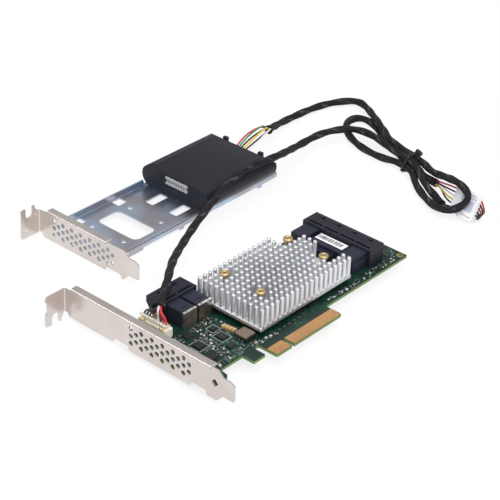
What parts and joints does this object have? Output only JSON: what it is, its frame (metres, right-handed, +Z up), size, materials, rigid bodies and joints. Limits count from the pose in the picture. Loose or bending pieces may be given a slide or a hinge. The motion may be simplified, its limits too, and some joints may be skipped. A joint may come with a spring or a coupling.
{
  "type": "raid controller card",
  "caption": "Half-length expansion card that runs a group of disks, with a pin heat sink, bracket and side-facing data ports, cabled to a backup power module on its own slotted tray",
  "frame": {"origin": "middle of the rigid parts' footprint, on the surface they lie on; the joining cable is left out", "axes": "+X along the board away from its bracket, +Y across the board from the edge connector to the bracket's screw flange, +Z up from the component side"},
  "size_m": [0.3191, 0.1918, 0.0261],
  "materials": {
    "printed_circuit_board": "satin green solder resist",
    "edge_contacts": "gold plated",
    "card_bracket": "bright nickel plate",
    "bracket_screws": "satin",
    "heatsink": "bright",
    "controller_chip": "matte",
    "thermal_pad": "matte",
    "memory_chips": "matte",
    "push_pins": "satin",
    "push_pin_springs": "bright wire",
    "top_port_housing": "satin",
    "top_port_contacts": "matte with gold strips",
    "top_port_cages": "satin, steel end faces",
    "end_port_housing": "satin",
    "end_port_contacts": "matte with gold strips",
    "end_port_cages": "satin",
    "part_label": "paper",
    "power_header": "cream nylon",
    "header_pins": "tinned",
    "header_plug": "cream nylon",
    "chips": "matte",
    "chip_legs": "tinned",
    "small_components": "ceramic",
    "ceramic_capacitors": "ceramic",
    "inductor": "ferrite",
    "oscillators": "satin",
    "tray_bracket": "bright nickel plate",
    "tray": "bluish zinc plate",
    "module_screws": "satin",
    "module_base": "satin",
    "module_cover": "satin",
    "capacitor_cells": "sleeved",
    "module_board": "satin",
    "module_socket": "grey nylon",
    "sleeve_extension": "woven sleeve",
    "sleeve_pigtail": "woven sleeve",
    "cable_tie": "nylon",
    "header_wires": "coloured insulation",
    "module_wires": "coloured insulation",
    "inline_plug": "white nylon",
    "inline_socket": "white nylon",
    "inline_wires": "coloured insulation",
    "inline_far_wires": "coloured insulation"
  },
  "bodies": {
    "root": {"printed_circuit_board": "printed_circuit_board", "edge_contacts": "edge_contacts", "card_bracket": "card_bracket", "bracket_screws": "bracket_screws", "heatsink": "heatsink", "controller_chip": "controller_chip", "thermal_pad": "thermal_pad", "memory_chips": "memory_chips", "push_pins": "push_pins", "push_pin_springs": "push_pin_springs", "top_port_housing": "top_port_housing", "top_port_contacts": "top_port_contacts", "top_port_cages": "top_port_cages", "end_port_housing": "end_port_housing", "end_port_contacts": "end_port_contacts", "end_port_cages": "end_port_cages", "part_label": "part_label", "power_header": "power_header", "header_pins": "header_pins", "header_plug": "header_plug", "chips": "chips", "chip_legs": "chip_legs", "small_components": "small_components", "ceramic_capacitors": "ceramic_capacitors", "inductor": "inductor", "oscillators": "oscillators", "tray_bracket": "tray_bracket", "tray": "tray", "module_screws": "module_screws", "module_base": "module_base", "module_cover": "module_cover", "capacitor_cells": "capacitor_cells", "module_board": "module_board", "module_socket": "module_socket", "sleeve_extension": "sleeve_extension", "sleeve_pigtail": "sleeve_pigtail", "cable_tie": "cable_tie", "header_wires": "header_wires", "module_wires": "module_wires", "inline_plug": "inline_plug", "inline_socket": "inline_socket", "inline_wires": "inline_wires", "inline_far_wires": "inline_far_wires"}
  },
  "joints": []
}
